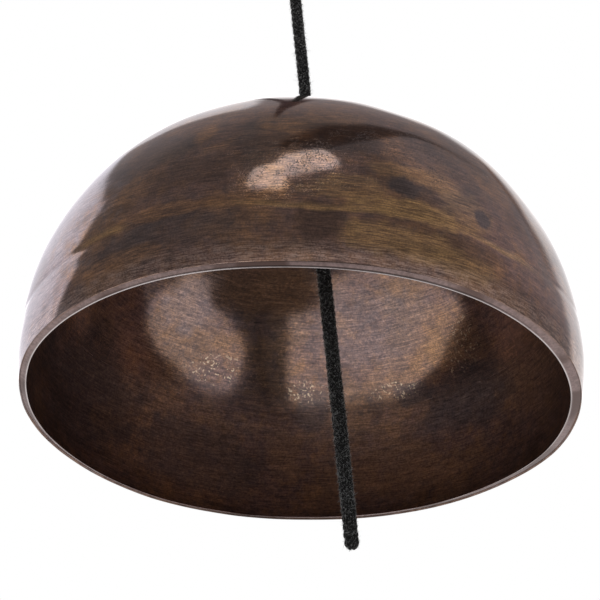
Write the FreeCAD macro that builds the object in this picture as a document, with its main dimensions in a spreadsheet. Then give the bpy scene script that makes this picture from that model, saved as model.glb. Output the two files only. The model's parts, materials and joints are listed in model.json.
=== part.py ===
"""A bronze bowl bell hung mouth down on one cord.

Row frame: millimetres, +Z up along the plumb cord. The origin is the bearing point inside the
top of the hanging loop, so everything else hangs below it. +X is the side that the bowl leans to.
"""
import FreeCAD
import Part
import os
import Sketcher
from FreeCAD import Placement, Rotation, Vector

START, END, CENTRE = 1, 2, 3  # the points of a sketched arc or line
ORIGIN = (-1, 1)              # the sketch's own origin
H_AXIS = -1                   # the sketch's horizontal axis
V_AXIS = -2                   # and its vertical one

SIZES = {
    # bowl, drawn upright with the outside of its crown at its own origin
    "bowl_radius": 100.0,        # at the widest, a little above the rim
    "bowl_height": 107.4,        # crown to rim plane
    "side_radius": 89.6,         # arc of the side; the crown arc is tangent to it
    "lip_height": 13.7,          # rim plane up to the widest ring
    "lip_inset": 1.5,            # how far the lip turns in again
    "rim_width": 3.1,
    "wall": 2.5,
    "wall_shift": 0.58,          # the hollow is off centre: the +X wall is thicker
    "hole_radius": 4.0,
    "rim_round": 0.8,
    "rim_break": 0.3,
    # how it hangs
    "bowl_lean": 6.56,           # degrees about +Y, where its heavier side pulls it
    "cord_offset": 1.4,          # the cord lies to this side of the crown hole
    # washer under the crown
    "washer_radius": 13.0,
    "washer_thick": 3.0,
    "washer_gap": 0.15,
    "washer_dish": 102.0,        # its top follows the inside of the crown
    "washer_hole_radius": 2.7,
    "washer_hole_x": 1.9,
    # cord
    "cord_radius": 2.1,          # pulled tight above the bowl
    "tail_radius": 2.45,         # slack below it
    "joint_gap": 0.1,            # between the ball end of a stretch and the cup it turns in
    "eye_radius": 8.0,           # inside the top of the loop
    "loop_length": 45.0,         # bearing point down to the loop knot
    "leg_gap": 0.6,              # the legs stop just above the knot
    "leg_spread": 2.3,           # half the distance between the legs at the knot
    "knot_radius": 6.6,
    "knot_round": 3.0,
    "knot_length": 17.0,
    "knot_drop": 6.4,            # crown down to the stop knot
    "neck": 2.5,                 # plain cord from a knot to the first bend below it
    "upper_length": 18.0,        # the two stretches below the loop knot
    "middle_length": 21.5,
    "crown_cord_length": 15.0,
    "tail_length": 46.4,         # each of the three stretches of the tail
}

CORD = "Sizes.cord_radius"
TAIL = "Sizes.tail_radius"

# depths below the bearing point, each from the one above it
LOOP_KNOT_LENGTH = "(Sizes.knot_length + Sizes.neck)"
STOP_KNOT_LENGTH = "(Sizes.knot_drop + Sizes.knot_length + Sizes.neck)"
FIRST_BEND = f"(Sizes.loop_length + {LOOP_KNOT_LENGTH})"
SECOND_BEND = f"({FIRST_BEND} + Sizes.upper_length)"
TWIST = f"({SECOND_BEND} + Sizes.upper_length)"
FOURTH_BEND = f"({TWIST} + Sizes.middle_length)"
CROWN = f"({FOURTH_BEND} + Sizes.crown_cord_length)"
FIRST_TAIL_BEND = f"({CROWN} + {STOP_KNOT_LENGTH})"
SECOND_TAIL_BEND = f"({FIRST_TAIL_BEND} + Sizes.tail_length)"
THIRD_TAIL_BEND = f"({SECOND_TAIL_BEND} + Sizes.tail_length)"


def new_document():
    """The document and the sheet that holds its driving dimensions."""
    doc = FreeCAD.newDocument("bowl_bell")
    sheet = doc.addObject("Spreadsheet::Sheet", "Sizes")
    for row, (alias, value) in enumerate(SIZES.items(), start=1):
        sheet.set(f"A{row}", alias)
        sheet.set(f"B{row}", str(value))
        sheet.setAlias(f"B{row}", alias)
    doc.recompute()
    return doc


def new_body(doc, name):
    body = doc.addObject("PartDesign::Body", name)
    body.Label = name
    return body


def new_sketch(body, name, plane="XZ_Plane"):
    """A sketch on one of the body's own origin planes."""
    sketch = body.newObject("Sketcher::SketchObject", name)
    support = next(f for f in body.Origin.OriginFeatures if f.Role == plane)
    sketch.AttachmentSupport = [(support, "")]
    sketch.MapMode = "FlatFace"
    return sketch


def line(sketch, start, end):
    return sketch.addGeometry(Part.LineSegment(Vector(*start), Vector(*end)), False)


def arc(sketch, start, middle, end):
    """An arc through three points. Its ends are stored anticlockwise."""
    points = [Vector(*p) for p in (start, middle, end)]
    return sketch.addGeometry(Part.Arc(*points), False)


def fix(sketch, kind, *where):
    return sketch.addConstraint(Sketcher.Constraint(kind, *where))


def size(sketch, kind, where, value, formula):
    """A dimension that follows a formula of the sheet's cells."""
    number = fix(sketch, kind, *where, value)
    sketch.setExpression(f"Constraints[{number}]", formula)


def revolve(body, sketch):
    """Turn a closed sketch a full turn about its vertical axis."""
    turned = body.newObject("PartDesign::Revolution", f"{body.Name}_turned")
    turned.Profile = sketch
    turned.ReferenceAxis = (sketch, ["V_Axis"])
    turned.Angle = 360.0
    return turned


def place(body, depth, lean=None):
    """Hang a body below the bearing point, and lean it to +X if asked."""
    if lean:
        body.Placement = Placement(Vector(), Rotation(Vector(0, 1, 0), 1.0))
        body.setExpression(".Placement.Rotation.Angle", f"{lean} * 1 deg")
        body.setExpression(".Placement.Base.x", f"-Sizes.cord_offset * cos({lean} * 1 deg)")
        depth = f"{depth} - Sizes.cord_offset * sin({lean} * 1 deg)"
    body.setExpression(".Placement.Base.z", f"-({depth})")


def dome_outline(body, name, inset=None):
    """Half of a dome: crown, side and lip arcs, the rim line and the axis.

    The outer dome has its crown at the origin. The inner one is inset from it by the wall, and
    its lip turns in further, so that the rim is wider than the wall.
    """
    wall = SIZES["wall"] if inset else 0.0
    sketch = new_sketch(body, name)
    crown = arc(sketch, (76, -32 - wall), (40, -8 - wall), (0, -wall))
    side = arc(sketch, (100 - wall, -94), (95 - wall, -62), (76, -32 - wall))
    lip = arc(sketch, (98.5 - wall, -107.4), (99.7 - wall, -100), (100 - wall, -94))
    rim = line(sketch, (98.5 - wall, -107.4), (0, -107.4))
    axis = line(sketch, (0, -107.4), (0, -wall))

    fix(sketch, "Tangent", crown, START, side, END)
    fix(sketch, "Tangent", side, START, lip, END)
    fix(sketch, "Coincident", lip, START, rim, START)
    fix(sketch, "Coincident", rim, END, axis, START)
    fix(sketch, "Coincident", axis, END, crown, END)
    fix(sketch, "Horizontal", rim)
    fix(sketch, "PointOnObject", axis, START, V_AXIS)
    fix(sketch, "PointOnObject", crown, CENTRE, V_AXIS)
    fix(sketch, "Horizontal", side, CENTRE, side, START)
    if inset:
        fix(sketch, "Vertical", axis)
        size(sketch, "DistanceY", (axis, END, *ORIGIN), wall, inset)
    else:
        fix(sketch, "Coincident", axis, END, *ORIGIN)

    less = f" - {inset}" if inset else ""
    lip_turn = f"Sizes.lip_inset + Sizes.rim_width{less}" if inset else "Sizes.lip_inset"
    widest = (side, START)
    corner = (lip, START)
    size(sketch, "DistanceX", (*ORIGIN, *widest), 100 - wall, f"Sizes.bowl_radius{less}")
    size(sketch, "Radius", (side,), 89.6 - wall, f"Sizes.side_radius{less}")
    size(sketch, "DistanceY", (*corner, *ORIGIN), 107.4, "Sizes.bowl_height")
    size(sketch, "DistanceY", (*corner, *widest), 13.7, "Sizes.lip_height")
    size(sketch, "DistanceX", (*corner, *widest), 1.5, lip_turn)
    return sketch


def ring_edge(shape, radius, z):
    """Name of the circular edge of this radius at this height."""
    for number, edge in enumerate(shape.Edges, start=1):
        if edge.Degenerated or not isinstance(edge.Curve, Part.Circle):
            continue
        ring = edge.Curve
        if abs(ring.Radius - radius) < 0.01 and abs(ring.Center.z - z) < 0.01:
            return f"Edge{number}"
    raise RuntimeError(f"no ring of radius {radius}")


def make_bowl(doc):
    """A full dome with a smaller dome taken out of it, a little off centre."""
    body = new_body(doc, "bowl")
    revolve(body, dome_outline(body, "outer_dome"))
    inside = dome_outline(body, "inner_dome", "Sizes.wall")
    inside.setExpression(".AttachmentOffset.Base.x", "-Sizes.wall_shift")
    hollow = body.newObject("PartDesign::Groove", "hollow")
    hollow.Profile = inside
    hollow.ReferenceAxis = (inside, ["V_Axis"])
    hollow.Angle = 360.0
    doc.recompute()

    rim_outside = SIZES["bowl_radius"] - SIZES["lip_inset"]
    rim_inside = rim_outside - SIZES["rim_width"]
    base = hollow
    for name, radius, rounding in (
        ("rim_outside", rim_outside, "Sizes.rim_round"),
        ("rim_inside", rim_inside, "Sizes.rim_break"),
    ):
        fillet = body.newObject("PartDesign::Fillet", name)
        fillet.Base = (base, [ring_edge(base.Shape, radius, -SIZES["bowl_height"])])
        fillet.setExpression("Radius", rounding)
        doc.recompute()
        base = fillet

    cut_hole(body, "crown_hole", "Sizes.hole_radius")
    place(body, CROWN, lean="Sizes.bowl_lean")


def cut_hole(body, name, radius_formula, x_formula=None):
    """A round hole straight down from the body's XY plane, on its axis or to the +X side."""
    sketch = new_sketch(body, f"{name}_outline", "XY_Plane")
    circle = sketch.addGeometry(Part.Circle(Vector(1, 0, 0), Vector(0, 0, 1), 3.0), False)
    size(sketch, "Radius", (circle,), 3.0, radius_formula)
    if x_formula:
        size(sketch, "DistanceX", (*ORIGIN, circle, CENTRE), 1.0, x_formula)
        fix(sketch, "PointOnObject", circle, CENTRE, H_AXIS)
    else:
        fix(sketch, "Coincident", circle, CENTRE, *ORIGIN)
    hole = body.newObject("PartDesign::Pocket", name)
    hole.Profile = sketch
    hole.Type = "Length"
    hole.setExpression("Length", "3 * Sizes.wall + Sizes.washer_thick")
    return hole


def make_washer(doc):
    """A dished leather disc, pressed up against the inside of the crown."""
    body = new_body(doc, "bearing_washer")
    sketch = new_sketch(body, "washer_profile")
    top = arc(sketch, (13, -3.4), (7, -2.8), (0, -2.55))
    side = line(sketch, (13, -3.4), (13, -6.4))
    bottom = arc(sketch, (13, -6.4), (7, -5.8), (0, -5.55))
    axis = line(sketch, (0, -5.55), (0, -2.55))
    for first, second in (
        ((top, START), (side, START)),
        ((side, END), (bottom, START)),
        ((bottom, END), (axis, START)),
        ((axis, END), (top, END)),
        ((top, CENTRE), (bottom, CENTRE)),
    ):
        fix(sketch, "Coincident", *first, *second)
    fix(sketch, "PointOnObject", top, CENTRE, V_AXIS)
    fix(sketch, "Vertical", side)
    fix(sketch, "PointOnObject", axis, END, V_AXIS)
    fix(sketch, "Vertical", axis)
    size(sketch, "DistanceY", (axis, END, *ORIGIN), 2.55, "Sizes.wall + Sizes.washer_gap")
    size(sketch, "DistanceY", (axis,), 3.0, "Sizes.washer_thick")
    size(sketch, "DistanceX", (*ORIGIN, side, START), 13.0, "Sizes.washer_radius")
    size(sketch, "Radius", (top,), 102.0, "Sizes.washer_dish")
    revolve(body, sketch)
    cut_hole(body, "washer_hole", "Sizes.washer_hole_radius", "Sizes.washer_hole_x")
    place(body, CROWN, lean="Sizes.bowl_lean")


def make_loop(doc):
    """A teardrop of cord: a round eye and two straight legs that meet at the loop knot."""
    body = new_body(doc, "hanging_loop")
    path = new_sketch(body, "loop_path")
    left = line(path, (-2.3, -44.4), (-9.8, -10))
    eye = arc(path, (9.8, -10), (0, 2.1), (-9.8, -10))
    right = line(path, (9.8, -10), (2.3, -44.4))
    fix(path, "Tangent", left, END, eye, END)
    fix(path, "Tangent", eye, START, right, START)
    fix(path, "PointOnObject", eye, CENTRE, V_AXIS)
    fix(path, "Horizontal", left, START, right, END)
    size(path, "Radius", (eye,), 10.1, "Sizes.eye_radius + Sizes.cord_radius")
    size(path, "DistanceY", (eye, CENTRE, *ORIGIN), 8.0, "Sizes.eye_radius")
    size(path, "DistanceX", (*ORIGIN, right, END), 2.3, "Sizes.leg_spread")
    size(path, "DistanceX", (left, START, *ORIGIN), 2.3, "Sizes.leg_spread")
    size(path, "DistanceY", (right, END, *ORIGIN), 44.4, "Sizes.loop_length - Sizes.leg_gap")
    doc.recompute()

    section = body.newObject("Sketcher::SketchObject", "loop_section")
    section.AttachmentSupport = [(path, "Edge1")]
    section.MapMode = "NormalToEdge"
    circle = section.addGeometry(Part.Circle(Vector(), Vector(0, 0, 1), 2.1), False)
    fix(section, "Coincident", circle, CENTRE, *ORIGIN)
    size(section, "Radius", (circle,), 2.1, "Sizes.cord_radius")
    pipe = body.newObject("PartDesign::AdditivePipe", "loop_tube")
    pipe.Profile = section
    pipe.Spine = path


def ball(doc, name, radius, z="0"):
    sphere = doc.addObject("Part::Sphere", name)
    sphere.setExpression("Radius", radius)
    sphere.setExpression(".Placement.Base.z", z)
    return sphere


def rod(doc, name, radius, top, bottom):
    """An upright cylinder between two depths below the piece's own origin."""
    cylinder = doc.addObject("Part::Cylinder", name)
    cylinder.setExpression("Radius", radius)
    cylinder.setExpression("Height", f"{bottom} - ({top})")
    cylinder.setExpression(".Placement.Base.z", f"-({bottom})")
    return cylinder


def knot(doc, name, top):
    """A knot as a barrel: a cylinder with both its edges rounded over."""
    barrel = rod(doc, f"{name}_barrel", "Sizes.knot_radius", top, f"{top} + Sizes.knot_length")
    doc.recompute()
    rounded = doc.addObject("Part::Fillet", f"{name}_rounded")
    rounded.Base = barrel
    radius = SIZES["knot_round"]
    rings = [
        number
        for number, edge in enumerate(barrel.Shape.Edges, start=1)
        if isinstance(edge.Curve, Part.Circle)
    ]
    rounded.Edges = [(number, radius, radius) for number in rings]
    return rounded


def join(doc, name, pieces):
    fused = doc.addObject("Part::MultiFuse", name)
    fused.Shapes = pieces
    return fused


def hollow_end(doc, name, solid, radius, length):
    """Cut the cup that the next stretch's ball end turns in."""
    cut = doc.addObject("Part::Cut", name)
    cut.Label = name
    cut.Base = solid
    cut.Tool = ball(doc, f"{name}_cup", f"{radius} + Sizes.joint_gap", f"-({length})")
    return cut


def make_stretch(doc, name, radius, length, depth, last=False):
    """Plain cord from one bend to the next: a ball end above, and a cup or a cut end below."""
    parts = [
        ball(doc, f"{name}_ball", radius),
        rod(doc, f"{name}_rod", radius, "0", length),
    ]
    if last:
        stretch = join(doc, name, parts)
        stretch.Label = name
    else:
        stretch = hollow_end(doc, name, join(doc, f"{name}_whole", parts), radius, length)
    place(stretch, depth)


def make_loop_knot(doc):
    """The knot that closes the loop, with a short neck of cord below it."""
    parts = [
        knot(doc, "loop_knot_bulk", "0"),
        rod(doc, "loop_knot_neck", CORD, "Sizes.knot_length / 2", LOOP_KNOT_LENGTH),
    ]
    whole = join(doc, "loop_knot_whole", parts)
    place(hollow_end(doc, "loop_knot", whole, CORD, LOOP_KNOT_LENGTH), "Sizes.loop_length")


def make_stop_knot(doc):
    """Cord down through the crown hole, the knot that carries the bowl, and a neck below it."""
    middle = "Sizes.knot_drop + Sizes.knot_length / 2"
    parts = [
        ball(doc, "stop_knot_ball", CORD),
        rod(doc, "stop_knot_rod", CORD, "0", middle),
        knot(doc, "stop_knot_bulk", "Sizes.knot_drop"),
        rod(doc, "stop_knot_neck", TAIL, middle, STOP_KNOT_LENGTH),
    ]
    whole = join(doc, "stop_knot_whole", parts)
    place(hollow_end(doc, "stop_knot", whole, TAIL, STOP_KNOT_LENGTH), CROWN)


def build(doc):
    """Every sub-part, from the top down. Returns their labels."""
    make_loop(doc)
    make_loop_knot(doc)
    stretches = (
        ("upper_cord_a", CORD, "Sizes.upper_length", FIRST_BEND),
        ("upper_cord_b", CORD, "Sizes.upper_length", SECOND_BEND),
        ("upper_cord_c", CORD, "Sizes.middle_length", TWIST),
        ("crown_cord", CORD, "Sizes.crown_cord_length", FOURTH_BEND),
        ("tail_cord_a", TAIL, "Sizes.tail_length", FIRST_TAIL_BEND),
        ("tail_cord_b", TAIL, "Sizes.tail_length", SECOND_TAIL_BEND),
        ("tail_cord_c", TAIL, "Sizes.tail_length", THIRD_TAIL_BEND),
    )
    last = stretches[-1]
    for stretch in stretches:
        make_stretch(doc, *stretch, last=stretch is last)
    make_bowl(doc)
    make_washer(doc)
    make_stop_knot(doc)
    names = [name for name, *_ in stretches]
    return ["hanging_loop", "loop_knot", "bowl", "bearing_washer", "stop_knot", *names]


def check(doc, names):
    """Stop if any object failed, or a sub-part isn't one valid solid."""
    for item in doc.Objects:
        if {"Invalid", "Error"} & set(item.State):
            raise RuntimeError(f"{item.Name} failed: {item.State}")
    for name in names:
        shape = doc.getObject(name).Shape
        if shape.isNull() or not shape.isValid() or len(shape.Solids) != 1:
            raise RuntimeError(f"{name} is not one valid solid")


def check_holes(doc):
    """Stop if a cut in the bowl or the washer took nothing away."""
    for name in ("hollow", "crown_hole", "washer_hole"):
        hole = doc.getObject(name)
        if hole.BaseFeature.Shape.Volume - hole.Shape.Volume < 1.0:
            raise RuntimeError(f"{name} cut nothing")


def main():
    doc = new_document()
    names = build(doc)
    doc.recompute()
    check(doc, names)
    check_holes(doc)
    os.makedirs("parts", exist_ok=True)
    for name in names:
        item = doc.getObject(name)
        item.Shape.exportStep(f"parts/{item.Label}.step")


main()
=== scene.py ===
"""The looks of a bronze bowl bell that hangs mouth down on a black braided cord.

Metres, in the CAD's own frame: +Z up the plumb cord, origin inside the top of the hanging loop.
"""
import json
import math

import bpy
import numpy as np
from mathutils import Matrix, Vector, noise


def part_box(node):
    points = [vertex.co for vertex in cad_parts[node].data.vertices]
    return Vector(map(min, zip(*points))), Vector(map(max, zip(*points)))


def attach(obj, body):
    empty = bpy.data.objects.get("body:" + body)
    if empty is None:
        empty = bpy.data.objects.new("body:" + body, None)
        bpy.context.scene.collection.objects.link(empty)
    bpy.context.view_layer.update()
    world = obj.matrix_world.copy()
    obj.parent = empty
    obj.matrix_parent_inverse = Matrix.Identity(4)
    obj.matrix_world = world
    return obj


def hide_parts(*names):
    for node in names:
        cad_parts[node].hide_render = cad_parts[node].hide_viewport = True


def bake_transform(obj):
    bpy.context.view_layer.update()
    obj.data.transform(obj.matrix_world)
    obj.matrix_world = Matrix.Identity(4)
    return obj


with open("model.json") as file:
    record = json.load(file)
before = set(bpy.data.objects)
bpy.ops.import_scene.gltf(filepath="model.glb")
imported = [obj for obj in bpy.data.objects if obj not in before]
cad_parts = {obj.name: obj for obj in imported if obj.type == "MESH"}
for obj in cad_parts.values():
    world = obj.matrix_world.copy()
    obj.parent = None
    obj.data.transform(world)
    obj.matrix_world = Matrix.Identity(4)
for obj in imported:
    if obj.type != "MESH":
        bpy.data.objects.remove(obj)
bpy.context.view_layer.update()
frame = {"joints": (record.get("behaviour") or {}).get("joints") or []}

MM = 0.001

# bowl, in millimetres, upright with the outside of its crown at the origin
BOWL_RADIUS = 100.0
BOWL_HEIGHT = 107.4
SIDE_RADIUS = 89.6
LIP_HEIGHT = 13.7
LIP_INSET = 1.5
RIM_WIDTH = 3.1
WALL = 2.5
WALL_SHIFT = 0.58
CREASE_AT = 145.0  # along the wall from the crown
GOLD_LINE_AT = 146.0  # the thin bright line beside the crease
VALLEY_AT = 148.5
HOLE_RADIUS = 4.0
BOWL_LEAN = math.radians(6.56)
CORD_OFFSET = 1.4
CROWN_RADIUS = ((BOWL_RADIUS - SIDE_RADIUS) ** 2 + (BOWL_HEIGHT - LIP_HEIGHT) ** 2 - SIDE_RADIUS ** 2) / (
    2 * (BOWL_HEIGHT - LIP_HEIGHT - SIDE_RADIUS))

# cord, in millimetres
CORD_RADIUS = 2.1
TAIL_RADIUS = 2.45
KNOT_RADIUS = 6.6
KNOT_LENGTH = 17.0
KNOT_TURNS = 4.0
EYE_RADIUS = 8.0
LOOP_LENGTH = 45.0
LEG_SPREAD = 2.3
BRAID_PITCH = 12.0
BRAID_MIDDLE = 0.69
BRAID_SWING = 0.08
STRAND_SHARE = 0.32
CORD_STEP = 0.35
FUZZ_PER_MM = 85.0

# leather washer, in millimetres
WASHER_RADIUS = 13.0
WASHER_THICK = 3.0
WASHER_DISH = 102.0
WASHER_HOLE_RADIUS = 2.7
WASHER_HOLE_X = 1.9
WASHER_GAP = 0.15

# view, in degrees and metres
VIEW_AZIMUTH = 3.68
VIEW_LIFT = 29.16
VIEW_ROLL = -5.65
VIEW_DISTANCE = 1.112
VIEW_BELOW = 0.0582
VIEW_LEFT = 0.00246
FLOOR_Z = -2.1
FLOOR_HALF = 30.0
LENS_MM = 180.0
SENSOR_MM = 36.0

joint_z = {j["name"]: j["pos_m"][2] for j in frame["joints"]}
crown = Vector((0, 0, joint_z["bell_tip_side"]))


# ---------------------------------------------------------------- mesh helpers

def make_mesh(name, points, quads, materials, index=None):
    """An object from arrays of points (metres) and faces."""
    mesh = bpy.data.meshes.new(name)
    mesh.from_pydata(points.tolist(), [], [tuple(q) for q in quads])
    mesh.polygons.foreach_set("use_smooth", [True] * len(mesh.polygons))
    for material in materials:
        mesh.materials.append(material)
    if index is not None:
        mesh.polygons.foreach_set("material_index", index)
    mesh.validate()
    piece = bpy.data.objects.new(name, mesh)
    bpy.context.scene.collection.objects.link(piece)
    return piece


def point_attribute(piece, name, values):
    attribute = piece.data.attributes.new(name, "FLOAT", "POINT")
    attribute.data.foreach_set("value", np.asarray(values, np.float32))


def grid_faces(rows, columns, close_rows=False):
    """Quads of a grid whose columns wrap round, and whose rows may too."""
    faces = []
    for i in range(rows if close_rows else rows - 1):
        a, b = i * columns, ((i + 1) % rows) * columns
        for j in range(columns):
            k = (j + 1) % columns
            faces.append((a + j, a + k, b + k, b + j))
    return faces


def arc_points(centre, radius, start, end, count):
    """Points along an arc in the (r, z) half plane. Angles in radians."""
    angles = np.linspace(start, end, count)
    return np.array(centre) + radius * np.stack([np.cos(angles), np.sin(angles)], 1)


def noise_field(points, size, seed):
    """Smooth noise about zero at each point, with features of about this size."""
    offset = Vector((seed * 17.3, seed * 5.1, seed * 9.7))
    return np.array([noise.noise(Vector(p) / size + offset) for p in points])


# ---------------------------------------------------------------- node helpers

class Graph:
    """Short calls for building a node tree."""

    def __init__(self, tree):
        self.tree = tree
        tree.nodes.clear()

    def node(self, kind, settings=None, **inputs):
        made = self.tree.nodes.new(kind)
        for key, value in (settings or {}).items():
            setattr(made, key, value)
        for key, value in inputs.items():
            self.feed(made.inputs[key.replace("_", " ")], value)
        return made

    def feed(self, socket, value):
        if isinstance(value, bpy.types.NodeSocket):
            self.tree.links.new(value, socket)
        else:
            if socket.type == "RGBA" and len(value) == 3:
                value = (*value, 1.0)
            socket.default_value = value

    def math(self, operation, *values, clamp=False):
        made = self.tree.nodes.new("ShaderNodeMath")
        made.operation = operation
        made.use_clamp = clamp
        for socket, value in zip(made.inputs, values):
            self.feed(socket, value)
        return made.outputs[0]

    def vector(self, operation, *values):
        made = self.tree.nodes.new("ShaderNodeVectorMath")
        made.operation = operation
        for socket, value in zip(made.inputs, values):
            self.feed(socket, value)
        scalar = operation in ("DOT_PRODUCT", "LENGTH", "DISTANCE")
        return made.outputs["Value" if scalar else "Vector"]

    def step(self, value, low, high):
        """0 at low, 1 at high, smooth between. low may be above high."""
        made = self.node("ShaderNodeMapRange", {"interpolation_type": "SMOOTHSTEP"})
        self.feed(made.inputs["Value"], value)
        if low < high:
            made.inputs["From Min"].default_value, made.inputs["From Max"].default_value = low, high
        else:
            made.inputs["From Min"].default_value, made.inputs["From Max"].default_value = high, low
            made.inputs["To Min"].default_value, made.inputs["To Max"].default_value = 1.0, 0.0
        return made.outputs[0]

    def mix(self, share, first, second, blend="MIX"):
        made = self.node("ShaderNodeMix", {"data_type": "RGBA", "blend_type": blend})
        for key, value in ((0, share), (6, first), (7, second)):
            self.feed(made.inputs[key], value)
        return made.outputs[2]

    def noise(self, vector, scale, detail=2.0, roughness=0.5, distortion=0.0):
        made = self.node("ShaderNodeTexNoise", Vector=vector, Scale=scale, Detail=detail,
                         Roughness=roughness, Distortion=distortion)
        return made.outputs["Fac"]

    def combine(self, x, y, z):
        return self.node("ShaderNodeCombineXYZ", X=x, Y=y, Z=z).outputs[0]

    def split(self, vector):
        return self.node("ShaderNodeSeparateXYZ", Vector=vector).outputs


def new_material(name):
    material = bpy.data.materials.new(name)
    material.use_nodes = True
    return material, Graph(material.node_tree)


# ---------------------------------------------------------------- materials

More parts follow.
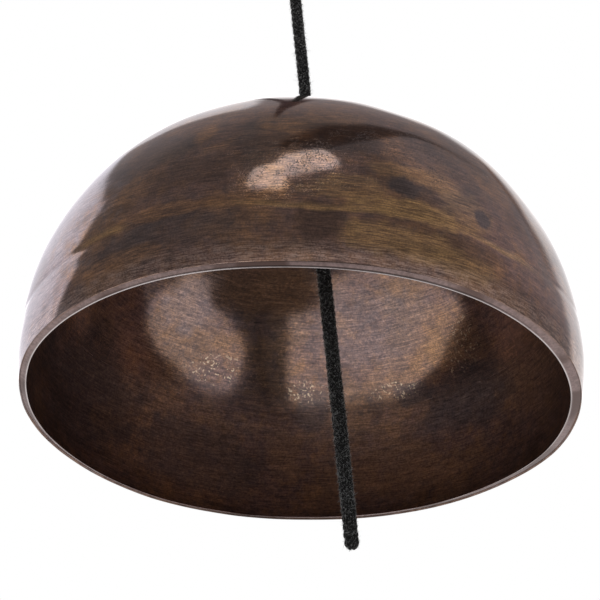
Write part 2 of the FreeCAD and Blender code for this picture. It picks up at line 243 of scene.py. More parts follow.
def bronze_material():
    """Patinated bronze: brushed round, clouded, gold where the patina is thin, worn on the rim; with a
    painted highlight on the rim's inner edge, painted shade along the rim face and a painted dark reflected
    streak outside.
    """
    material, g = new_material("patinated_bronze")
    place = g.node("ShaderNodeTexCoord").outputs["Object"]
    foot = bell_matrix().translation
    upright = g.node("ShaderNodeMapping", {"vector_type": "TEXTURE"}, Vector=place, Location=foot,
                     Rotation=(0.0, BOWL_LEAN, 0.0), Scale=(MM, MM, MM))
    mm = upright.outputs[0]
    x, y, z = g.split(mm)
    inside = g.node("ShaderNodeAttribute", {"attribute_name": "inside"}).outputs["Fac"]
    edge = g.node("ShaderNodeAttribute", {"attribute_name": "edge"}).outputs["Fac"]
    ridge = g.node("ShaderNodeAttribute", {"attribute_name": "ridge"}).outputs["Fac"]
    face = g.node("ShaderNodeAttribute", {"attribute_name": "face"}).outputs["Fac"]
    rim_shade = g.node("ShaderNodeAttribute", {"attribute_name": "rim_shade"}).outputs["Fac"]
    outside = g.math("SUBTRACT", 1.0, inside)

    # distance from the crown along the wall, gently wavy so that the brushing isn't machine-made
    reach = g.math("SQRT", g.math("ADD", g.math("MULTIPLY", x, x), g.math("MULTIPLY", y, y)))
    slope = g.math("ARCTAN2", reach, g.math("ADD", z, CROWN_RADIUS))
    down = g.math("MULTIPLY", slope, CROWN_RADIUS)
    wave = g.noise(mm, 0.03, 2.0)
    wavy = g.math("ADD", down, g.math("MULTIPLY_ADD", wave, 9.0, -4.5))
    nearly_level = g.math("ADD", down, g.math("MULTIPLY_ADD", wave, 3.0, -1.5))
    ragged = g.math("MULTIPLY_ADD", g.noise(mm, 0.10, 4.0, 0.65), 1.7, -0.85)

    def brushed(width, length, detail=2.0):
        """Streaks round the bowl, of about this width and length."""
        fine = g.math("MULTIPLY", nearly_level, length / width)
        return g.noise(g.combine(x, y, fine), 1.0 / length, detail, 0.6)

    def patch(turn, level, wide, high, side):
        """A cloud on one side of the wall, centred this many degrees round and mm down from the crown."""
        angle = math.radians(turn)
        across = g.vector("DOT_PRODUCT", mm, (-math.sin(angle), math.cos(angle), 0.0))
        facing = g.vector("DOT_PRODUCT", mm, (math.cos(angle), math.sin(angle), 0.0))
        a = g.math("DIVIDE", across, wide)
        b = g.math("DIVIDE", g.math("SUBTRACT", down, level), high)
        spread = g.math("SQRT", g.math("ADD", g.math("MULTIPLY", a, a), g.math("MULTIPLY", b, b)))
        mask = g.step(g.math("ADD", spread, ragged), 1.2, 0.65)
        return g.math("MULTIPLY", g.math("MULTIPLY", mask, g.step(facing, 0.0, 12.0)), side)

    hair = brushed(0.34, 5.0, 3.0)
    grain = brushed(1.2, 14.0, 2.0)
    cloud = g.noise(mm, 0.03, 4.0, 0.62)
    stain = g.noise(g.vector("ADD", mm, (70.0, 230.0, 10.0)), 0.075, 3.0, 0.6)
    drift = g.noise(g.vector("ADD", mm, (310.0, 90.0, 40.0)), 0.034, 2.0, 0.5)

    mauve, umber = (0.275, 0.175, 0.148), (0.34, 0.205, 0.135)
    slate, soot_and_dark_reflection = (0.135, 0.110, 0.112), (0.15, 0.095, 0.073)
    gold, amber = (0.66, 0.42, 0.19), (0.52, 0.28, 0.13)
    lilac, smoke = (0.35, 0.285, 0.29), (0.23, 0.18, 0.165)

    colour = g.mix(g.step(cloud, 0.42, 0.60), mauve, umber)
    colour = g.mix(g.math("MULTIPLY", g.step(stain, 0.52, 0.68), 0.45), colour, soot_and_dark_reflection)
    colour = g.mix(g.math("MULTIPLY", g.step(stain, 0.46, 0.32), 0.35), colour, amber)
    fleck = g.noise(g.vector("ADD", mm, (20.0, 60.0, 110.0)), 0.26, 4.0, 0.7)
    colour = g.mix(g.math("MULTIPLY", g.step(fleck, 0.50, 0.66), 0.26), colour, amber)
    colour = g.mix(g.math("MULTIPLY", g.step(fleck, 0.50, 0.34), 0.45), colour, slate)
    clouded = g.math("MULTIPLY", g.step(drift, 0.54, 0.70), g.math("MULTIPLY_ADD", outside, 0.65, 0.15))
    colour = g.mix(clouded, colour, slate)

    # where the patina is thin the brushing shows gold; two soot patches in the list paint a dark reflected
    # streak
    patches = [
        # degrees round, mm from the crown, half width and half height in mm, colour, strength, side
        (-168, 128, 50, 56, lilac, 0.95, outside), (-8, 120, 46, 56, smoke, 0.85, outside),
        (-157, 141, 9, 7, smoke, 0.7, outside), (-152, 120, 6, 12, smoke, 0.35, outside),
        (-124, 110, 16, 12, slate, 0.65, outside), (-115, 128, 17, 8, soot_and_dark_reflection, 0.6, outside),
        (-113, 105, 4, 7, amber, 0.5, outside), (-127, 131, 8, 4, amber, 0.3, outside),
        (-97, 114, 8, 6, soot_and_dark_reflection, 0.65, outside), (-92, 107, 8, 4, amber, 0.4, outside),
        # painted reflection: the soot patches at -86 and -75 degrees together paint a dark reflected streak
        # across the outer wall
        (-86, 107, 10, 4, soot_and_dark_reflection, 0.7, outside), (-75, 103, 14, 3, soot_and_dark_reflection, 0.65, outside),
        (-58, 108, 20, 9, slate, 0.4, outside), (-66, 126, 17, 5, gold, 0.3, outside),
        (-61, 114, 16, 9, slate, 0.45, outside),
        (-82, 138, 15, 6, gold, 0.45, outside), (-69, 143, 24, 5, gold, 0.75, outside),
        (-57, 137, 12, 9, gold, 0.3, outside), (-70, 133, 8, 5, slate, 0.9, outside),
        (-72, 156, 22, 7, gold, 0.6, outside), (-58, 159, 16, 5, gold, 0.5, outside),
        (-87, 153, 8, 10, soot_and_dark_reflection, 0.85, outside), (-103, 120, 10, 6, soot_and_dark_reflection, 0.4, outside),
        (-118, 153, 34, 7, slate, 0.55, outside),
        (-102, 143, 18, 3, amber, 0.25, outside), (-118, 143, 20, 3, amber, 0.4, outside),
        (-128, 158, 22, 4, amber, 0.35, outside), (-53, 137, 4, 4, slate, 0.95, outside),
        (-52, 127, 9, 7, slate, 0.35, outside), (-55, 152, 11, 5, soot_and_dark_reflection, 0.45, outside),
        (45, 126, 26, 14, slate, 0.75, inside), (86, 122, 8, 9, slate, 0.6, inside),
        (61, 119, 9, 6, slate, 0.7, inside), (112, 146, 30, 16, slate, 0.6, inside),
        (70, 150, 22, 12, umber, 0.5, inside), (93, 140, 8, 12, umber, 0.5, inside),
        (142, 118, 20, 14, umber, 0.4, inside), (48, 98, 18, 12, amber, 0.3, inside),
        (146, 138, 34, 24, slate, 0.6, inside), (20, 130, 24, 26, umber, 0.5, inside),
        (104, 72, 26, 14, umber, 0.6, inside), (70, 90, 26, 16, lilac, 0.25, inside),
        (124, 86, 12, 14, lilac, 0.35, inside), (60, 108, 22, 6, amber, 0.2, inside),
    ]
    for turn, level, wide, high, tint, strength, side in patches:
        mask = g.math("MULTIPLY", patch(turn, level, wide, high, side), strength)
        if tint in (gold, amber):
            mask = g.math("MULTIPLY", mask, g.math("MULTIPLY_ADD", g.step(hair, 0.35, 0.65), 0.7, 0.5))
        colour = g.mix(mask, colour, tint)

    line = g.math("MULTIPLY", g.step(wavy, GOLD_LINE_AT - 3.0, GOLD_LINE_AT),
                  g.step(wavy, GOLD_LINE_AT + 1.6, GOLD_LINE_AT))
    line = g.math("MULTIPLY", line, g.math("MULTIPLY", g.step(drift, 0.62, 0.45), outside))
    line = g.math("MULTIPLY", line, g.step(y, -58.0, -72.0))
    colour = g.mix(g.math("MULTIPLY", line, 0.6), colour, gold)

    shade = g.mix(g.step(hair, 0.25, 0.75), (0.60, 0.60, 0.61), (1.42, 1.39, 1.33))
    colour = g.mix(1.0, colour, shade, "MULTIPLY")
    shade = g.mix(g.step(grain, 0.3, 0.7), (0.86, 0.86, 0.87), (1.14, 1.12, 1.10))
    colour = g.mix(1.0, colour, shade, "MULTIPLY")
    speck = g.noise(mm, 1.6, 2.0, 0.6)
    shade = g.mix(g.step(speck, 0.3, 0.7), (0.80, 0.80, 0.81), (1.20, 1.19, 1.17))
    colour = g.mix(1.0, colour, shade, "MULTIPLY")
    mottle = g.math("MULTIPLY_ADD", g.noise(mm, 0.9, 3.0, 0.7), 2.4, -0.7)
    shade = g.mix(mottle, (0.54, 0.60, 0.68), (1.16, 1.18, 1.20))
    colour = g.mix(inside, colour, g.mix(1.0, colour, shade, "MULTIPLY"))

    handled = g.math("MULTIPLY", g.step(down, 158.0, 163.0), g.step(hair, 0.38, 0.66))
    handled = g.math("MULTIPLY", handled, g.math("MULTIPLY", g.step(speck, 0.3, 0.55), outside))
    colour = g.mix(g.math("MULTIPLY", handled, 0.6), colour, (0.66, 0.50, 0.42))

    worn = g.mix(g.step(g.noise(mm, 0.8, 2.0), 0.3, 0.7), (0.30, 0.22, 0.20), (0.44, 0.32, 0.295))
    worn = g.mix(g.step(g.noise(mm, 0.05, 2.0), 0.45, 0.62), worn, (0.17, 0.105, 0.085))
    colour = g.mix(face, colour, worn)
    colour = g.mix(g.math("MULTIPLY", ridge, 0.75), colour, (0.36, 0.20, 0.12))
    # painted shade: a dark line along the rim face, only on the camera side, also made rougher and left
    # without varnish
    colour = g.mix(g.math("MULTIPLY", rim_shade, 0.85), colour, (0.035, 0.022, 0.02))
    # painted highlight: the rim's inner edge is lightened to near white to give the bright line that its
    # rounding mirrors
    colour = g.mix(edge, colour, (1.0, 0.93, 0.90))

    # scratches: short broken pieces of a noise's level lines
    level_line = g.math("ABSOLUTE", g.math("SUBTRACT", g.noise(mm, 0.42, 1.0), 0.5))
    scratch = g.math("MULTIPLY", g.step(level_line, 0.055, 0.02), g.step(g.noise(mm, 0.8, 1.0), 0.5, 0.62))
    rubbed = [(42, 104, 8, 9), (47, 111, 6, 5), (89, 114, 9, 5), (112, 108, 12, 7), (66, 116, 12, 4)]
    for turn, level, wide, high in rubbed:
        share = g.math("MULTIPLY", scratch, patch(turn, level, wide, high, inside))
        colour = g.mix(g.math("MULTIPLY", share, 0.8), colour, (0.78, 0.62, 0.44))

    pits = g.node("ShaderNodeTexVoronoi", Vector=mm, Scale=1.5, Randomness=1.0).outputs["Distance"]
    pitted = g.math("MAXIMUM", patch(-92, 127, 26, 16, outside), patch(-66, 115, 30, 14, outside))
    pitted = g.math("MULTIPLY", pitted, g.step(g.noise(mm, 0.22, 2.0), 0.38, 0.55))
    pit = g.math("MULTIPLY", g.step(pits, 0.44, 0.20), pitted)
    colour = g.mix(g.math("MULTIPLY", pit, 0.7), colour, (0.06, 0.04, 0.035))
    peel = g.noise(mm, 0.75, 2.0, 0.5)
    rough = g.math("MULTIPLY_ADD", grain, 0.08, 0.05)
    rough = g.math("ADD", rough, g.math("MULTIPLY", pit, 0.12))
    rough = g.math("ADD", rough, g.math("MULTIPLY", face, 0.12))
    rough = g.math("ADD", rough, g.math("MULTIPLY", rim_shade, 0.3))
    lower = g.math("MULTIPLY_ADD", g.step(down, 112.0, 130.0), 0.24, 0.045)
    rough = g.math("ADD", rough, g.math("MULTIPLY", inside, lower))

    height = g.math("MULTIPLY_ADD", hair, 0.35, g.math("MULTIPLY", grain, 0.3))
    height = g.math("ADD", height, g.math("MULTIPLY", peel, 0.6))
    height = g.math("SUBTRACT", height, g.math("MULTIPLY", pit, 2.0))
    bump = g.node("ShaderNodeBump", Strength=0.35, Distance=0.00005, Height=height)
    metal = g.math("MULTIPLY_ADD", inside, -0.12, 0.86)
    varnish = g.math("MULTIPLY", g.math("MULTIPLY_ADD", inside, -0.35, 0.5), g.math("SUBTRACT", 1.0, rim_shade))

    skin = g.node("ShaderNodeBsdfPrincipled", Base_Color=colour, Metallic=metal, Roughness=rough,
                  Normal=bump.outputs[0], Coat_Weight=varnish)
    skin.inputs["Coat Roughness"].default_value = 0.05
    g.node("ShaderNodeOutputMaterial", Surface=skin.outputs[0])
    return material


def cotton_material(name, tone, tip):
    """Black cotton: each strand mottled along its length, with a faint sheen."""
    material, g = new_material(name)
    place = g.node("ShaderNodeTexCoord").outputs["Object"]
    mottle = g.noise(place, 1900.0, 3.0, 0.6)
    colour = g.mix(g.step(mottle, 0.35, 0.7), tone, tip)
    bump = g.node("ShaderNodeBump", Strength=0.6, Distance=0.0002, Height=g.noise(place, 3800.0, 2.0))
    cloth = g.node("ShaderNodeBsdfPrincipled", Base_Color=colour, Roughness=0.9, Normal=bump.outputs[0])
    cloth.inputs["Specular IOR Level"].default_value = 0.25
    cloth.inputs["Sheen Weight"].default_value = 0.12
    cloth.inputs["Sheen Roughness"].default_value = 0.5
    g.node("ShaderNodeOutputMaterial", Surface=cloth.outputs[0])
    return material


def fibre_material(name, tone, tip, through_share):
    """Loose cotton fibres, darker and paler by the tuft, with light coming through them."""
    material, g = new_material(name)
    place = g.node("ShaderNodeTexCoord").outputs["Object"]
    colour = g.mix(g.step(g.noise(place, 1500.0, 2.0), 0.35, 0.62), tone, tip)
    cloth = g.node("ShaderNodeBsdfDiffuse", Color=colour)
    through = g.node("ShaderNodeBsdfTranslucent", Color=colour)
    both = g.node("ShaderNodeMixShader", Fac=through_share)
    g.feed(both.inputs[1], cloth.outputs[0])
    g.feed(both.inputs[2], through.outputs[0])
    g.node("ShaderNodeOutputMaterial", Surface=both.outputs[0])
    return material


def leather_material():
    material, g = new_material("washer_leather")
    place = g.node("ShaderNodeTexCoord").outputs["Object"]
    pores = g.node("ShaderNodeTexVoronoi", Vector=place, Scale=1400.0).outputs["Distance"]
    colour = g.mix(g.noise(place, 220.0, 4.0), (0.030, 0.016, 0.010), (0.095, 0.052, 0.030))
    bump = g.node("ShaderNodeBump", Strength=0.5, Distance=0.0002, Height=pores)
    hide = g.node("ShaderNodeBsdfPrincipled", Base_Color=colour, Roughness=0.62, Normal=bump.outputs[0])
    g.node("ShaderNodeOutputMaterial", Surface=hide.outputs[0])
    return material


# ---------------------------------------------------------------- bowl

def dome_profile(inset, lip_turn, count):
    """Crown, side and lip arcs of one face of the wall, from the axis to the rim plane."""
    side_centre = (BOWL_RADIUS - SIDE_RADIUS, LIP_HEIGHT - BOWL_HEIGHT)
    crown_centre = (0.0, -CROWN_RADIUS)
    meet = math.atan2(side_centre[1] - crown_centre[1], side_centre[0])
    lip_radius = (LIP_HEIGHT ** 2 + lip_turn ** 2) / (2 * lip_turn)
    lip_centre = (BOWL_RADIUS - inset - lip_radius, LIP_HEIGHT - BOWL_HEIGHT)
    hole = math.acos((HOLE_RADIUS + 0.4) / (CROWN_RADIUS - inset))
    parts = (
        arc_points(crown_centre, CROWN_RADIUS - inset, hole, meet, count),
        arc_points(side_centre, SIDE_RADIUS - inset, meet, 0.0, count),
        arc_points(lip_centre, lip_radius, 0.0, -math.asin(LIP_HEIGHT / lip_radius) * 0.985, count // 4),
    )
    return np.concatenate([p if i == 0 else p[1:] for i, p in enumerate(parts)])


def bell_matrix():
    """From the upright bowl's own axes to its place on the cord."""
    lean = Matrix.Rotation(BOWL_LEAN, 4, "Y")
    foot = lean @ Vector((CORD_OFFSET * MM, 0, 0))
    return Matrix.Translation(crown - foot) @ lean


def make_bowl(bronze):
    """One closed skin, hand-beaten: outside, rim, inside and the edge of the crown hole."""
    columns = 480
    count = 150
    outer = dome_profile(0.0, LIP_INSET, count)[:-1]
    inner = dome_profile(WALL, LIP_INSET + RIM_WIDTH - WALL, count)[:-1][::-1]
    rim_in = BOWL_RADIUS - LIP_INSET - RIM_WIDTH
    rim_out = BOWL_RADIUS - LIP_INSET
    low = -BOWL_HEIGHT
    # the rim's face slopes: its inner edge is the lowest, and is lightened to a thin painted highlight line;
    # beside it a painted dark line of shade runs on the camera side only
    rim = np.array([
        (rim_out - 0.04, low + 1.25), (rim_out - 0.12, low + 1.08), (rim_out - 0.28, low + 0.98),
        (rim_out - 0.6, low + 0.87), (rim_out - 1.1, low + 0.68), (rim_in + 1.25, low + 0.44),
        (rim_in + 1.10, low + 0.39), (rim_in + 0.85, low + 0.32), (rim_in + 0.50, low + 0.18),
        (rim_in + 0.42, low + 0.10), (rim_in + 0.16, low), (rim_in + 0.04, low + 0.06), (rim_in, low + 0.2),
    ])
    edge_highlight_line = (0.0, 0.0, 0.0, 0.0, 0.0, 0.0, 0.0, 0.0, 0.15, 1.0, 1.0, 0.8, 0.0)
    shade_line = (0.0, 0.0, 0.0, 0.0, 0.0, 0.0, 0.35, 1.0, 1.0, 0.0, 0.0, 0.0, 0.0)
    outer_ridge = (0.6, 1.0, 1.0, 0.4, 0.0, 0.0, 0.0, 0.0, 0.0, 0.0, 0.0, 0.0, 0.0)
    hole = np.array([
        (HOLE_RADIUS + 0.12, -0.1), (HOLE_RADIUS, -0.4), (HOLE_RADIUS, -1.25),
        (HOLE_RADIUS, -2.1), (HOLE_RADIUS + 0.12, -2.4),
    ])[::-1]
    profile = np.concatenate([outer, rim, inner, hole])
    rows = len(profile)
    first_rim, last_rim = len(outer), len(outer) + len(rim)
    is_inner = np.zeros(rows)
    is_inner[last_rim:last_rim + len(inner)] = 1.0
    shift = np.zeros(rows)
    on_inner = np.arange(rows) >= last_rim - 5
    shift[on_inner] = np.clip((profile[on_inner, 0] - 5.0) / 9.0, 0.0, 1.0) * WALL_SHIFT
    face = np.arange(first_rim + 3, last_rim - 5)
    shift[face] = WALL_SHIFT * np.linspace(0.2, 0.95, len(face))

    turn = np.linspace(0.0, 2 * np.pi, columns, endpoint=False)
    ring = np.stack([np.cos(turn), np.sin(turn)], 1)
    points = np.empty((rows, columns, 3))
    points[..., 0] = profile[:, None, 0] * ring[:, 0] - shift[:, None]
    points[..., 1] = profile[:, None, 0] * ring[:, 1]
    points[..., 2] = profile[:, None, 1]

    # unevenness in mm, straight out from the crown arc's centre: the same on both faces, because the
    # wall is thin, apart from the crease, which is only outside
    flat = points.reshape(-1, 3)
    round_axis = np.hypot(flat[:, 0], flat[:, 1])
    dents = 0.30 * noise_field(flat, 27.0, 1) + 0.09 * noise_field(flat, 13.0, 2)
    grown = 0.5 * noise_field(flat * np.array((1, 1, 0.35)), 70.0, 3)
    away = flat - np.array((0, 0, -CROWN_RADIUS))
    away /= np.linalg.norm(away, axis=1)[:, None]
    fade = np.clip((round_axis - 6.0) / 14.0, 0.0, 1.0)
    down = CROWN_RADIUS * np.arctan2(round_axis, flat[:, 2] + CROWN_RADIUS)
    crease = np.exp(-((down - CREASE_AT + 4.0 * noise_field(flat, 60.0, 4)) / 1.5) ** 2)
    on_left = np.clip((-flat[:, 0] / BOWL_RADIUS - 0.35) / 0.5, 0.0, 1.0)
    valley = -0.35 * on_left * np.exp(-((down - VALLEY_AT) / 6.5) ** 2)
    deeper_left = 0.10 + 0.10 * np.clip(-flat[:, 0] / BOWL_RADIUS, 0.0, 1.0)
    crease *= np.repeat(is_inner - 1.0, columns) * deeper_left
    near_rim = np.clip((down - 105.0) / 50.0, 0.0, 1.0)
    towards_x = np.clip(flat[:, 0] / BOWL_RADIUS, -1.0, 1.0)
    swell = near_rim * np.where(towards_x > 0, 1.0, 0.15) * towards_x ** 3
    turns = np.arctan2(flat[:, 1], flat[:, 0])
    shoulder = 1.0 * np.exp(-((turns + math.radians(38.0)) / 0.6) ** 2 - ((down - 84.0) / 28.0) ** 2)
    flat = flat + away * ((dents + grown + crease + valley + swell + shoulder) * fade)[:, None]
    sag = np.exp(-((turns - math.radians(-97.0)) / math.radians(28.0)) ** 2)
    last = np.clip((down - 135.0) / 28.0, 0.0, 1.0) ** 2
    sag = 0.85 * sag + 0.5 * (1.0 + np.sin(turns))
    flat[:, 2] -= last * (sag + 0.22 * np.sin(3 * turns + 1.0) + 0.12 * np.sin(7 * turns))

    edge, ridge, rim_shade, face_share = (np.zeros(rows) for _ in range(4))
    edge[first_rim:last_rim] = edge_highlight_line
    rim_shade[first_rim:last_rim] = shade_line
    # the painted shade line is kept to the side facing the camera
    near = np.clip(-1.6 * flat[:, 1] / BOWL_RADIUS - 0.6, 0.0, 1.0)
    ridge[first_rim:last_rim] = outer_ridge
    face_share[first_rim + 1:last_rim] = 1.0
    towards_y = np.clip(flat[:, 1] / BOWL_RADIUS, 0.0, 1.0)
    # the painted edge highlight fades away from the camera side and breaks up with noise
    highlight_share = np.clip(0.95 + 0.5 * noise_field(flat, 9.0, 5) - 1.1 * towards_y, 0.0, 1.0)
    rubbed = np.clip(0.15 + 1.8 * noise_field(flat, 16.0, 6), 0.0, 1.0)
    to_row = bell_matrix()
    flat = (flat * MM) @ np.array(to_row.to_3x3()).T + np.array(to_row.translation)
    piece = make_mesh("bowl_bell", flat, grid_faces(rows, columns, close_rows=True), [bronze])
    point_attribute(piece, "inside", np.repeat(is_inner, columns))
    point_attribute(piece, "edge", np.repeat(edge, columns) * highlight_share)
    point_attribute(piece, "ridge", np.repeat(ridge, columns) * rubbed)
    point_attribute(piece, "face", np.repeat(face_share, columns))
    point_attribute(piece, "rim_shade", np.repeat(rim_shade, columns) * near)
    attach(piece, "bell")
    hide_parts("bowl")
    return piece


def make_washer(leather):
    """A dished leather disc under the crown, with the cord's hole off its middle."""
    columns = 96
    turn = np.linspace(0.0, 2 * np.pi, columns, endpoint=False)
    ring = np.stack([np.cos(turn), np.sin(turn)], 1)
    hole = np.array((WASHER_HOLE_X, 0.0)) + WASHER_HOLE_RADIUS * ring
    rows = []
    across = np.concatenate([np.linspace(0.0, 0.9, 14), (0.94, 0.97, 0.99, 1.0)])
    round_off = np.concatenate([np.zeros(14), (0.05, 0.18, 0.45, 0.9)])
    for share, drop in zip(across, round_off):
        rows.append(((1 - share) * hole + share * WASHER_RADIUS * ring, -drop, 0.0))
    for share, drop in list(zip(across, round_off))[::-1]:
        rows.append(((1 - share) * hole + share * WASHER_RADIUS * ring, drop, -WASHER_THICK))
    points = []
    for flat, lift, level in rows:
        dish = np.sqrt(WASHER_DISH ** 2 - (flat ** 2).sum(1)) - WASHER_DISH
        dish *= 1.0 if level == 0.0 else 0.8  # the underside is dished a little less
        points.append(np.column_stack([flat, dish + lift + level - WALL - WASHER_GAP]))
    points = np.concatenate(points)
    points[:, 2] += 0.12 * noise_field(points, 4.0, 8)
    to_row = bell_matrix()
    points = (points * MM) @ np.array(to_row.to_3x3()).T + np.array(to_row.translation)
    piece = make_mesh("washer_disc", points, grid_faces(len(rows), columns, close_rows=True), [leather])
    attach(piece, "bell")
    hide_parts("bearing_washer")
    return piece


# ---------------------------------------------------------------- cord

def cord_radius_at(z):
    """The cord is drawn thin above the bowl and is slacker below. Millimetres."""
    share = np.clip((-142.0 - z) / 14.0, 0.0, 1.0)
    return CORD_RADIUS + (TAIL_RADIUS - CORD_RADIUS) * share


def frames_along(path):
    """Unit tangents and two normals carried along a path without twisting."""
    tangent = np.gradient(path, axis=0)
    tangent /= np.linalg.norm(tangent, axis=1)[:, None]
    side = np.zeros_like(path)
    first = np.array((0.0, 1.0, 0.0))
    first = first - (first @ tangent[0]) * tangent[0]
    side[0] = first / np.linalg.norm(first)
    for i in range(1, len(path)):
        moved = side[i - 1] - (side[i - 1] @ tangent[i]) * tangent[i]
        side[i] = moved / np.linalg.norm(moved)
    return tangent, side, np.cross(tangent, side)


def tube(path, radii, sides):
    """Points and faces of a closed tube: rings round the path and a point in the middle of each end."""
    _, side, other = frames_along(path)
    turn = np.linspace(0.0, 2 * np.pi, sides, endpoint=False)
    rings = (path[:, None] + radii[:, None, None] * (
        side[:, None] * np.cos(turn)[:, None] + other[:, None] * np.sin(turn)[:, None]))
    points = np.concatenate([rings.reshape(-1, 3), path[:1], path[-1:]])
    faces = grid_faces(len(path), sides)
    start, end, last = len(path) * sides, len(path) * sides + 1, (len(path) - 1) * sides
    for j in range(sides):
        k = (j + 1) % sides
        faces.append((start, k, j))
        faces.append((end, last + j, last + k))
    return points, faces


class Bundle:
    """Gathers closed tubes into one mesh. Material 0 is strand, 1 lying fibre, 2 standing fibre."""

    def __init__(self):
        self.points, self.faces, self.index, self.count = [], [], [], 0

    def add(self, points, faces, material):
        self.points.append(points)
        self.faces += [tuple(v + self.count for v in face) for face in faces]
        self.index += [material] * len(faces)
        self.count += len(points)

    def build(self, name, materials):
        return make_mesh(name, np.concatenate(self.points) * MM, self.faces, materials, self.index)


def add_braid(bundle, path, radius, start=0.0):
    """Eight strands, half wound each way, each passing over and under the others."""
    length = start + np.concatenate([[0.0], np.cumsum(np.linalg.norm(np.diff(path, axis=0), axis=1))])
    _, side, other = frames_along(path)
    weave = np.cos(8 * np.pi * length / BRAID_PITCH)
    for way in (1, -1):
        for k in range(4):
            angle = way * 2 * np.pi * length / BRAID_PITCH + k * np.pi / 2
            out = radius * (BRAID_MIDDLE + way * BRAID_SWING * weave)
            centre = path + (out * np.cos(angle))[:, None] * side + (out * np.sin(angle))[:, None] * other
            lump = 1.0 + 0.2 * np.array([noise.noise(Vector((0.45 * s, 7.7 * k, 3.3 * way))) for s in length])
            bundle.add(*tube(centre, radius * STRAND_SHARE * lump, 7), 0)
    bundle.add(*tube(path, radius * (BRAID_MIDDLE + 0.02), 10), 0)


def add_fuzz(bundle, path, radius, per_mm, rng):
    """Fibres of the spun cotton: most lie on the braid, some stand off it and curl."""
    length = np.concatenate([[0.0], np.cumsum(np.linalg.norm(np.diff(path, axis=0), axis=1))])
    tangent, side, other = frames_along(path)
    for _ in range(int(per_mm * length[-1])):
        at = rng.uniform(0.0, length[-1])
        i = min(int(np.searchsorted(length, at)), len(path) - 1)
        angle = rng.uniform(0.0, 2 * np.pi)
        out = side[i] * math.cos(angle) + other[i] * math.sin(angle)
        along = np.cross(tangent[i], out)
        loose = rng.random() < 0.6
        reach = rng.gamma(2.4, 0.24) if loose else rng.uniform(0.4, 1.1)
        rise = rng.uniform(0.3, 1.0) if loose else rng.uniform(0.0, 0.28)
        heading = out * rise + rng.uniform(-1.0, 1.0) * tangent[i] + rng.uniform(-0.8, 0.8) * along
        heading /= np.linalg.norm(heading)
        curl = rng.normal(0.0, 0.5, 3) - (0.3 if loose else 0.1) * out
        share = np.linspace(0.0, 1.0, 4)[:, None]
        root = path[i] + out * radius[i] * rng.uniform(0.9, 1.02)
        hair = root + reach * (share * heading + 0.5 * share ** 2 * curl)
        thick = rng.uniform(0.028, 0.052) * np.array((1.0, 0.95, 0.8, 0.45))
        bundle.add(*tube(hair, thick, 3), 2 if loose else 1)


def wobble(z):
    """The cord's small waves, the same for every piece so that their ends meet."""
    x = [0.22 * noise.noise(Vector((0.045 * v, 2.0, 0.0))) for v in z]
    y = [0.22 * noise.noise(Vector((0.045 * v, 9.0, 4.0))) for v in z]
    return np.column_stack([x, y, z])


def make_stretch(name, top, bottom, nodes, materials, rng, sealed=False):
    """A length of hanging cord from top down to bottom; a sealed piece narrows towards its lower end."""
    z = np.arange(top, bottom - 0.01, -CORD_STEP)
    z = np.append(z, bottom) if z[-1] - bottom > 0.05 else z
    path, radius = wobble(z), cord_radius_at(z)
    if sealed:
        radius = radius * np.clip(0.55 + (z - bottom) / 3.0, 0.55, 1.0)
    bundle = Bundle()
    add_braid(bundle, path, radius, start=-top)
    add_fuzz(bundle, path, radius, FUZZ_PER_MM, rng)
    piece = bundle.build(name, materials)
    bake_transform(piece)
    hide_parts(*nodes)
    return piece


def make_cord(materials, rng):
    """Hanging cord in eight pieces, each cut half way between two bends."""
    bends = {name: z / MM for name, z in joint_z.items()}
    order = ["swing_side", "swing_front", "cord_twist", "bell_tip_front", "bell_tip_side",
             "tail_swing_side", "tail_swing_front", "tail_bend"]
    middles = [0.5 * (bends[a] + bends[b]) for a, b in zip(order, order[1:])]
    tail_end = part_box("tail_cord_c")[0].z / MM
    cuts = [bends["swing_side"] + 6.0] + middles + [tail_end]
    stood_for = [["upper_cord_a"], ["upper_cord_b"], [], ["upper_cord_c"], ["crown_cord"],
                 ["tail_cord_a"], ["tail_cord_b"], ["tail_cord_c"]]
    for i, joint in enumerate(order):
        top, bottom = cuts[i], cuts[i + 1]
        make_stretch(f"cord_{i + 1}_{joint}", top, bottom, stood_for[i], materials, rng,
                     sealed=i == len(order) - 1)


def make_loop(materials, rng):
    """The hanging loop: a teardrop of cord whose legs run down into the loop knot."""
    middle = -EYE_RADIUS
    bend = EYE_RADIUS + CORD_RADIUS
    foot = -LOOP_LENGTH - 2.0
    reach = math.hypot(LEG_SPREAD, foot - middle)
    swing = math.acos(bend / reach) - math.atan2(LEG_SPREAD, middle - foot)
    touch = -math.pi / 2 + swing
    count = int(bend * (math.pi - 2 * touch) / CORD_STEP)
    angles = np.linspace(touch, math.pi - touch, count)
    eye = np.column_stack([bend * np.cos(angles), np.zeros(count), middle + bend * np.sin(angles)])
    steps = int(np.linalg.norm(eye[0] - (LEG_SPREAD, 0.0, foot)) / CORD_STEP)
    leg = np.linspace((LEG_SPREAD, 0.0, foot), eye[0], steps)[:-1]
    other_leg = (leg * (-1.0, 1.0, 1.0))[::-1]
    path = np.concatenate([leg, eye, other_leg])
    radius = np.full(len(path), CORD_RADIUS)
    bundle = Bundle()
    add_braid(bundle, path, radius)
    add_fuzz(bundle, path, radius, FUZZ_PER_MM, rng)
    piece = bundle.build("loop_braid", materials)
    piece.visible_glossy = False  # the crown mirrors only plain cord
    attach(piece, "hanger")
    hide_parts("hanging_loop")


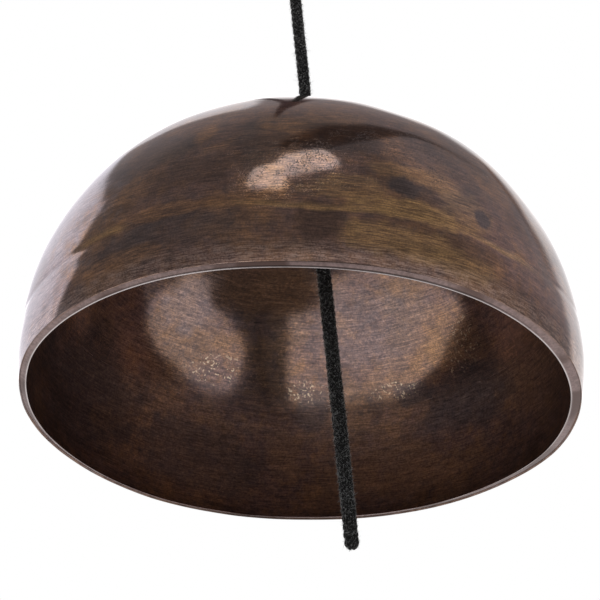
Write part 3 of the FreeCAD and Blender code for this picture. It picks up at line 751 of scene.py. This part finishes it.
def make_knot(name, node, body, materials, rng):
    """A barrel knot: the cord winds round itself and tucks its ends in."""
    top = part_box(node)[1].z / MM
    coil = KNOT_RADIUS - CORD_RADIUS
    sweep = np.arange(0.0, KNOT_TURNS * 2 * np.pi, CORD_STEP / coil)
    share = sweep / sweep[-1]
    tuck = np.minimum(1.0, np.minimum(share, 1 - share) / 0.07)
    out = coil * (0.35 + 0.65 * np.sin(tuck * np.pi / 2))
    top_centre, bottom_centre = top - CORD_RADIUS + 0.05, top - KNOT_LENGTH + CORD_RADIUS - 0.05
    level = top_centre + (bottom_centre - top_centre) * np.clip((share - 0.06) / 0.88, 0.0, 1.0)
    path = np.column_stack([out * np.cos(sweep), out * np.sin(sweep), level])
    radius = np.full(len(path), CORD_RADIUS)
    bundle = Bundle()
    add_braid(bundle, path, radius)
    add_fuzz(bundle, path, radius, FUZZ_PER_MM, rng)
    piece = bundle.build(name, materials)
    piece.visible_glossy = body != "hanger"
    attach(piece, body)
    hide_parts(node)


# ---------------------------------------------------------------- studio

def make_world():
    """A white backdrop for the camera, and soft panels in a dim room for the bronze to mirror."""
    world = bpy.data.worlds.new("studio")
    bpy.context.scene.world = world
    world.use_nodes = True
    g = Graph(world.node_tree)
    way = g.node("ShaderNodeTexCoord").outputs["Generated"]
    ripple = g.noise(way, 3.0, 2.0)
    fine = g.noise(way, 9.0, 2.0)

    def azimuth_from(centre):
        """Degrees round from this azimuth, 0 away from the camera and growing towards +X."""
        turn = math.radians(centre)
        front = g.vector("DOT_PRODUCT", way, (math.sin(turn), math.cos(turn), 0.0))
        right = g.vector("DOT_PRODUCT", way, (math.cos(turn), -math.sin(turn), 0.0))
        return g.math("MULTIPLY", g.math("ARCTAN2", right, front), 180 / math.pi)

    lift = g.math("MULTIPLY", g.math("ARCSINE", g.split(way)[2]), 180 / math.pi)

    def panel(centre, level, half_wide, half_high, soft, power=4.0, slope=0.0, rough=0.0):
        """1 inside a rounded panel, fading over this share of its size."""
        round_by = azimuth_from(centre)
        up_by = g.math("SUBTRACT", lift, g.math("MULTIPLY_ADD", round_by, slope, level))
        if rough:
            up_by = g.math("ADD", up_by, g.math("MULTIPLY_ADD", fine, rough, -rough / 2))
        a = g.math("POWER", g.math("ABSOLUTE", g.math("DIVIDE", round_by, half_wide)), power)
        b = g.math("POWER", g.math("ABSOLUTE", g.math("DIVIDE", up_by, half_high)), power)
        return g.step(g.math("POWER", g.math("ADD", a, b), 1.0 / power), 1.0 + soft, 1.0 - soft)

    room_low, room_high = (0.12, 0.12, 0.13), (0.225, 0.21, 0.212)
    light = g.mix(g.step(lift, -20.0, 12.0), room_low, room_high)
    gap = g.math("MULTIPLY", panel(8, 24, 45, 22.5, 0.05, 4.0), g.step(azimuth_from(0), 6.0, 26.0))
    gap = g.math("MULTIPLY", gap, g.step(lift, 27.0, 36.0))
    across = g.math("ADD", g.vector("DOT_PRODUCT", way, (-0.854, 0.516, 0.066)), 0.165)
    boom_half = g.math("MULTIPLY_ADD", g.step(lift, 60.0, 80.0), 0.085, 0.026)
    boom = g.step(g.math("DIVIDE", g.math("ABSOLUTE", across), boom_half), 1.2, 0.75)
    boom = g.math("MULTIPLY", boom, g.step(g.vector("DOT_PRODUCT", way, (0.0, 1.0, 0.0)), -0.34, -0.22))
    boom = g.math("MULTIPLY", boom, g.math("MULTIPLY", g.step(lift, 42.0, 66.0), 0.9))
    lamps = [
        # centre, level, half width and height, softness, power, slope, raggedness
        (panel(0, -36, 75, 34, 0.4, 3.0), (0.62, 0.59, 0.60)),
        (panel(178, 3, 95, 9, 0.5, 4.0), (0.42, 0.39, 0.39)),
        (panel(70, 42, 42, 27, 0.35, 4.0), (0.44, 0.40, 0.42)),
        (panel(10, 56, 60, 20, 0.5, 3.0), (0.30, 0.265, 0.27)),
        (gap, (0.20, 0.15, 0.14)),
        (panel(8, 24, 41, 19, 0.12, 4.0), (1.0, 0.97, 0.99)),
        (panel(-4, 23, 27, 19, 0.5, 3.0), (0.95, 0.93, 0.95)),
        (panel(-30, 29, 42, 22, 0.05, 2.5, -0.2, 3.0), (1.02, 1.0, 1.10)),
        (panel(-6, 51, 8, 8.5, 0.12, 2.5), (0.90, 0.88, 0.92)),
        (panel(14, 40, 16, 8, 0.4, 3.0), (0.95, 0.92, 0.93)),
        (panel(4, 29, 20, 13, 0.6, 2.0), (1.6, 1.58, 1.6)),
        (boom, (0.06, 0.042, 0.036)),
        (panel(-170, 57.5, 9, 6.5, 0.1, 4.0, 0.0, 4.0), (1.75, 1.77, 1.77)),
        (panel(166, 64, 19, 7.0, 0.1, 4.0, -0.12, 4.0), (1.75, 1.77, 1.77)),
        (panel(7.5, 66, 2.0, 14, 0.25, 6.0), (0.06, 0.04, 0.042)),
        (panel(4.7, 52.5, 2.3, 3.0, 0.25, 3.0, 4.6), (0.06, 0.04, 0.042)),
        (panel(-130, -37, 50, 31, 0.05, 4.0, 0.0, 12.0), (0.98, 0.95, 0.97)),
        (panel(122, -40, 33, 18, 0.06, 4.0, 0.22, 9.0), (0.96, 0.93, 0.97)),
        (panel(157, -73.5, 60, 15, 0.06, 4.0, 0.0, 4.0), (0.12, 0.10, 0.09)),
    ]
    for mask, colour in lamps:
        light = g.mix(mask, light, colour)
    light = g.mix(1.0, light, g.mix(ripple, (0.88, 0.88, 0.88), (1.12, 1.12, 1.12)), "MULTIPLY")

    seen = g.node("ShaderNodeLightPath").outputs["Is Camera Ray"]
    room = g.node("ShaderNodeBackground", Color=light, Strength=1.0)
    white = g.node("ShaderNodeBackground", Color=(1.0, 1.0, 1.0), Strength=1.0)
    both = g.node("ShaderNodeMixShader", Fac=seen)
    g.feed(both.inputs[1], room.outputs[0])
    g.feed(both.inputs[2], white.outputs[0])
    g.node("ShaderNodeOutputWorld", Surface=both.outputs[0])


def make_floor():
    """A plain pale floor, well below the bell and out of the picture."""
    material, g = new_material("floor_paper")
    place = g.node("ShaderNodeTexCoord").outputs["Object"]
    colour = g.mix(g.noise(place, 3.0), (0.80, 0.80, 0.80), (0.84, 0.84, 0.84))
    paper = g.node("ShaderNodeBsdfPrincipled", Base_Color=colour, Roughness=0.8,
                   Emission_Color=colour, Emission_Strength=0.62)
    g.node("ShaderNodeOutputMaterial", Surface=paper.outputs[0])
    corners = FLOOR_HALF * np.array([(-1, -1, 0), (1, -1, 0), (1, 1, 0), (-1, 1, 0)], float)
    floor = make_mesh("floor", corners, [(0, 1, 2, 3)], [material])
    floor.location.z = FLOOR_Z
    floor.visible_glossy = False
    floor.visible_diffuse = False


def make_camera():
    """Below the bell, looking up at it and a little rolled."""
    data = bpy.data.cameras.new("camera")
    data.lens, data.sensor_width = LENS_MM, SENSOR_MM
    camera = bpy.data.objects.new("camera", data)
    bpy.context.scene.collection.objects.link(camera)
    turn, lift, roll = (math.radians(a) for a in (VIEW_AZIMUTH, VIEW_LIFT, VIEW_ROLL))
    forward = Vector((math.sin(turn) * math.cos(lift), math.cos(turn) * math.cos(lift), math.sin(lift)))
    level = Vector((math.cos(turn), -math.sin(turn), 0.0))
    upright = level.cross(forward)
    right = level * math.cos(roll) + upright * math.sin(roll)
    up = right.cross(forward)
    apex = bell_matrix() @ Vector((0, 0, 0))
    place = apex - forward * VIEW_DISTANCE - up * VIEW_BELOW - right * VIEW_LEFT
    axes = Matrix((right, up, -forward)).transposed().to_4x4()
    camera.matrix_world = Matrix.Translation(place) @ axes
    bpy.context.scene.camera = camera


make_world()
make_floor()
make_camera()
bronze = bronze_material()
leather = leather_material()
strand = cotton_material("cord_strand", (0.004, 0.004, 0.004), (0.016, 0.018, 0.017))
fibre = fibre_material("cord_fibre", (0.03, 0.033, 0.032), (0.50, 0.52, 0.50), 0.3)
# the standing fibres' near-white colour is a painted highlight for the light they catch round the black cord
halo = fibre_material("cord_halo", (0.40, 0.42, 0.41), (0.92, 0.94, 0.93), 0.5)
make_bowl(bronze)
make_washer(leather)
rng = np.random.default_rng(7)
make_loop([strand, fibre, halo], rng)
make_knot("loop_knot_wraps", "loop_knot", "hanger", [strand, fibre, halo], rng)
make_knot("stop_knot_wraps", "stop_knot", "bell", [strand, fibre, halo], rng)
make_cord([strand, fibre, halo], rng)
bpy.context.scene.view_settings.view_transform = "Standard"
